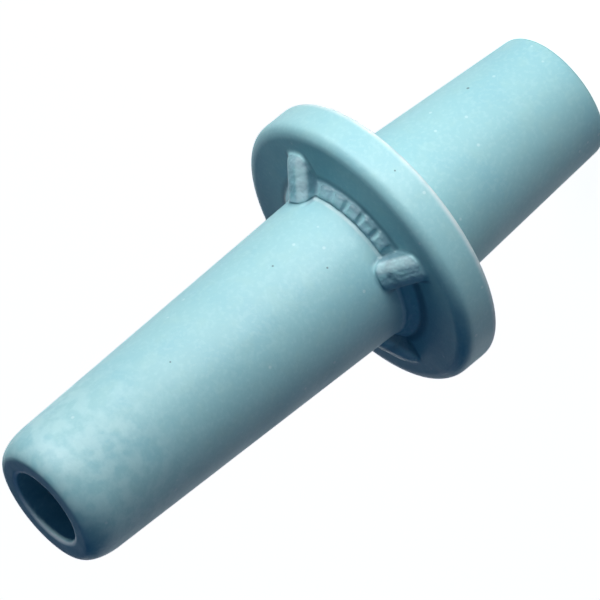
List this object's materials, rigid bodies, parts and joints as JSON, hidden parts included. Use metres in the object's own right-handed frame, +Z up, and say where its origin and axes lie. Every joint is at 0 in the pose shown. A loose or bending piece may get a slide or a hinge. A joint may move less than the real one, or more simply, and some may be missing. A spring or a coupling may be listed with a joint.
{
  "type": "oxygen tubing connector",
  "caption": "Straight push-in oxygen tubing connector: one hollow moulding with tapered noses either side of a ribbed flange",
  "frame": {"origin": "centre of the flat end of the short nose, which the connector stands on", "axes": "+Z up along the bore, out through the long nose; +X and +Y along two of the gusset ribs"},
  "size_m": [0.014, 0.014, 0.0314],
  "materials": {
    "moulding": "semi-matte moulded plastic, pale blue-green, slightly translucent"
  },
  "bodies": {
    "root": {"connector": "moulding"}
  },
  "joints": []
}
